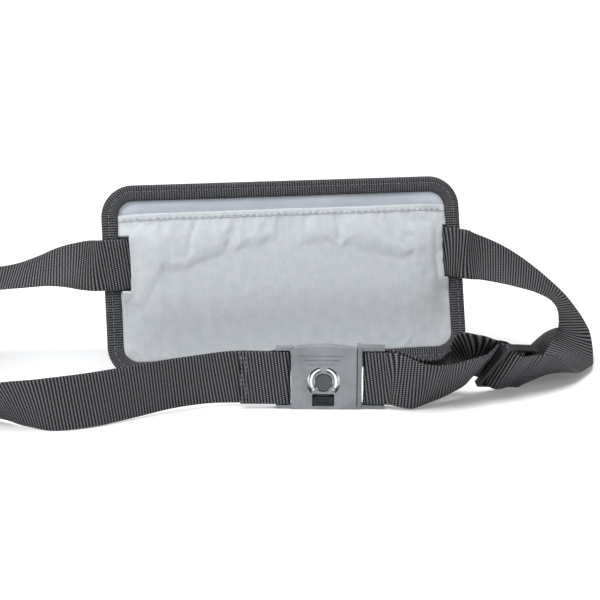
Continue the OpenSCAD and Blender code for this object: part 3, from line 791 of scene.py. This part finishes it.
def panel_at(grid, u, v):
    """The point and normal of the back panel at u and v."""
    j = np.clip(np.interp(u, PANEL_U, range(PANEL_COLUMNS)), 0, PANEL_COLUMNS - 1.001)
    i = np.clip(np.interp(v, PANEL_V, range(PANEL_ROWS)), 0, PANEL_ROWS - 1.001)
    a, b = int(i), int(j)
    fi, fj = i - a, j - b
    p00, p01, p10, p11 = grid[a, b], grid[a, b + 1], grid[a + 1, b], grid[a + 1, b + 1]
    point = (p00 * (1 - fi) * (1 - fj) + p01 * (1 - fi) * fj
             + p10 * fi * (1 - fj) + p11 * fi * fj)
    normal = np.cross(p01 - p00, p10 - p00)
    return point, normal / np.linalg.norm(normal)


def drop_loose_points(piece):
    """Removes the grid points left where a slit or a window was cut."""
    work = bmesh.new()
    work.from_mesh(piece.data)
    bmesh.ops.delete(work, geom=[v for v in work.verts if not v.link_faces], context="VERTS")
    work.to_mesh(piece.data)
    work.free()


def thicken(piece, thickness):
    solid = piece.modifiers.new("thickness", "SOLIDIFY")
    solid.thickness = thickness * MM
    solid.offset = -1


def add_back_panel():
    grid = panel_grid()

    def kept(i, j):
        u = (PANEL_U[j] + PANEL_U[j + 1]) / 2
        v = (PANEL_V[i] + PANEL_V[i + 1]) / 2
        return not in_slit(u, v)

    faces = grid_faces(PANEL_ROWS, PANEL_COLUMNS, keep=kept)
    uvs = [(u, v) for v in PANEL_V for u in PANEL_U]
    panel = make_piece("back_panel_cloth", grid.reshape(-1, 3), faces, BACK, uvs)
    drop_loose_points(panel)
    thicken(panel, 0.6)
    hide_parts("back_panel")
    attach(panel, "pouch_and_strap")

    columns, rows = 240, 8
    hem_low = HEM_V - 3
    points, uvs = [], []
    for i in range(rows):
        t = i / (rows - 1)
        for u in np.linspace(-INNER_W + 0.5, INNER_W - 0.5, columns):
            p, n = panel_at(grid, u, hem_low + (HEM_V - hem_low) * t)
            pucker = 0.1 * math.sin(2 * math.pi * u / 3.4)
            lift = 0.42 * math.sin(math.pi * min(0.5, t * 3 + 0.12)) * (1 if t < 0.99 else 0.6)
            up = pouch(0, 0, 0.5) - pouch(0, 0, 0) if t > 0.99 else np.zeros(3)
            points.append(p + n * (lift + pucker * math.exp(-abs(t - 0.5) * 5)) + up)
            uvs.append((u, hem_low + (HEM_V - hem_low) * t + 30))
    hem = make_piece("pocket_hem", points, grid_faces(rows, columns), BACK, uvs)
    thicken(hem, 0.5)
    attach(hem, "pouch_and_strap")

    seats = []
    for u in np.arange(-INNER_W + 2, INNER_W - 3, STITCH_PITCH):
        a, n = panel_at(grid, u, HEM_V - 2)
        b, _ = panel_at(grid, u + STITCH_LEN, HEM_V - 2)
        seats.append((a + n * 0.5, b + n * 0.5, n))
    thread = stitches("hem_stitches", seats, THREAD_LIGHT, 0.2)
    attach(thread, "pouch_and_strap")


def add_liner():
    columns, rows = 120, 60
    us = np.linspace(-INNER_W - TUCK, INNER_W + TUCK, columns)
    vs = np.linspace(BINDING_W - TUCK, POUCH_H - BINDING_W + TUCK, rows)
    points = []
    for v in vs:
        for u in us:
            ripple = 0.5 * noise.noise(Vector((u * 0.035, v * 0.05, 5)))
            inside = smoothstep((INNER_W - abs(u)) / 12)
            points.append(pouch(u, 0.35 + ripple * inside, v))
    uvs = [(u, v + 200) for v in vs for u in us]
    liner = make_piece("liner_cloth", points, grid_faces(rows, columns), LINER, uvs)
    thicken(liner, 0.35)
    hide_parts("liner_panel")
    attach(liner, "pouch_and_strap")


def front_depth(u, v):
    side = smoothstep((INNER_W - abs(u)) / 12) ** 0.6 if abs(u) < INNER_W else 0
    low = smoothstep((v - BINDING_W) / 13) ** 0.6 if v > BINDING_W else 0
    high = smoothstep((POUCH_H - BINDING_W - v) / 10) ** 0.6 if v < POUCH_H - BINDING_W else 0
    wrinkle = 0.5 * noise.noise(Vector((u * 0.045, v * 0.06, 1)))
    near_zip = math.exp(-((v - ZIP_V) / 9) ** 2)
    lift = (FRONT_BULGE - 1.1) * side * low * high
    return 1.1 + lift + wrinkle * side * low * high * (1 - near_zip)


def add_front_panels():
    columns, rows = 177, 82
    us = np.linspace(-INNER_W - TUCK, INNER_W + TUCK, columns)
    vs = np.linspace(BINDING_W - TUCK, POUCH_H - BINDING_W + TUCK, rows)
    half_window = 3.0

    def kept(i, j):
        u, v = (us[j] + us[j + 1]) / 2, (vs[i] + vs[i + 1]) / 2
        return not (abs(u) < ZIP_LEN / 2 - 1 and abs(v - ZIP_V) < half_window)

    faces = [face[::-1] for face in grid_faces(rows, columns, keep=kept)]
    points = [pouch(u, -front_depth(u, v), v) for v in vs for u in us]
    uvs = [(u, v) for v in vs for u in us]
    front = make_piece("front_cloth", points, faces, FRONT, uvs)
    drop_loose_points(front)
    thicken(front, 0.6)
    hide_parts("front_lower_panel", "front_upper_panel")
    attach(front, "pouch_and_strap")

    seats = []
    normal = pouch(0, -1, 0) - pouch(0, 0, 0)
    for v in (ZIP_V - half_window - 1.6, ZIP_V + half_window + 1.6):
        for u in np.arange(-ZIP_LEN / 2, ZIP_LEN / 2 - 2, STITCH_PITCH):
            depth = front_depth(u + 1, v)
            seats.append((pouch(u, -depth, v), pouch(u + STITCH_LEN, -depth, v), normal))
    thread = stitches("zip_stitches", seats, THREAD_DARK, 0.2)
    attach(thread, "pouch_and_strap")


def add_zip():
    """Two rows of nylon coil, each a flattened spiral beside the zip's middle."""
    pitch, wire, sides = 1.5, 0.32, 6
    for name, side in (("lower", -1), ("upper", 1)):
        path = []
        turns = int((ZIP_LEN - 1.6) / pitch)
        for i in range(turns * 10):
            a = 2 * math.pi * i / 10
            u = -ZIP_LEN / 2 + 0.8 + pitch * i / 10
            v = ZIP_V + side * (1.2 + 0.85 * math.cos(a))
            path.append(pouch(u, -(ZIP_D + 0.2 + 0.5 * math.sin(a)), v))
        path = np.array(path)
        tangent = np.gradient(path, axis=0)
        tangent /= np.linalg.norm(tangent, axis=1)[:, None]
        axis = pouch(1, 0, 0) - pouch(0, 0, 0)
        points = []
        for p, t in zip(path, tangent):
            n = np.cross(t, axis)
            n /= np.linalg.norm(n)
            b = np.cross(t, n)
            points += [p + wire * (n * math.cos(k) + b * math.sin(k))
                       for k in np.linspace(0, 2 * math.pi, sides, endpoint=False)]
        faces = grid_faces(len(path), sides, closed_columns=True)
        last = (len(path) - 1) * sides
        faces.append(tuple(reversed(range(sides))))
        faces.append(tuple(last + k for k in range(sides)))
        coil = make_piece(f"zip_coil_{name}_wire", points, faces, NYLON)
        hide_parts(f"zip_coil_{name}")
        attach(coil, "pouch_and_strap")


# ---- hard parts ----------------------------------------------------------------------------


def softened(node, body, name, material, width=0.35):
    """The node's shape with its edges rounded as moulding leaves them."""
    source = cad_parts[node]
    mesh = source.data.copy()
    mesh.name = name
    mesh.materials.clear()
    mesh.materials.append(material)
    work = bmesh.new()
    work.from_mesh(mesh)
    bmesh.ops.remove_doubles(work, verts=work.verts, dist=0.00001)
    bmesh.ops.dissolve_limit(work, angle_limit=math.radians(1), verts=work.verts, edges=work.edges)
    work.to_mesh(mesh)
    work.free()
    piece = bpy.data.objects.new(name, mesh)
    bpy.context.collection.objects.link(piece)
    bevel = piece.modifiers.new("rounded_edges", "BEVEL")
    bevel.width = width * MM
    bevel.segments = 2
    bevel.limit_method = "ANGLE"
    bevel.angle_limit = math.radians(35)
    bevel.use_clamp_overlap = True
    mesh.polygons.foreach_set("use_smooth", [True] * len(mesh.polygons))
    normals = piece.modifiers.new("even_shading", "WEIGHTED_NORMAL")
    normals.keep_sharp = True
    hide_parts(node)
    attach(piece, body)


def add_hard_parts():
    softened("ring_plate", "ring_half", "ring_half_cover", BUCKLE_GREY)
    softened("stud_plate", "pouch_and_strap", "stud_half_base", STUD_GREY)
    softened("stud_post", "pouch_and_strap", "stud", STUD_FACE, 0.3)
    softened("release_slider", "release_slider", "release_button", DARK_PLASTIC,
             0.15)
    softened("lock_ring", "ring_half", "split_ring", STEEL, 0.3)
    softened("tri_glide", "adjuster", "strap_adjuster", DARK_PLASTIC, 0.6)
    softened("zip_slider", "zip_slider", "zip_slider_body", ZIP_METAL, 0.2)
    softened("zip_pull", "zip_pull", "zip_puller", ZIP_METAL, 0.25)
    softened("zip_stops", "pouch_and_strap", "zip_end_stops", ZIP_METAL, 0.2)
    for node, material in (("ring_magnet", STEEL), ("stud_magnet", STEEL),
                           ("zip_tape_lower", ZIP_TAPE), ("zip_tape_upper", ZIP_TAPE)):
        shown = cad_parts[node]
        shown.data.materials.clear()
        shown.data.materials.append(material)


add_strap()
add_end_fold()
add_binding()
add_back_panel()
add_liner()
add_front_panels()
add_zip()
add_hard_parts()
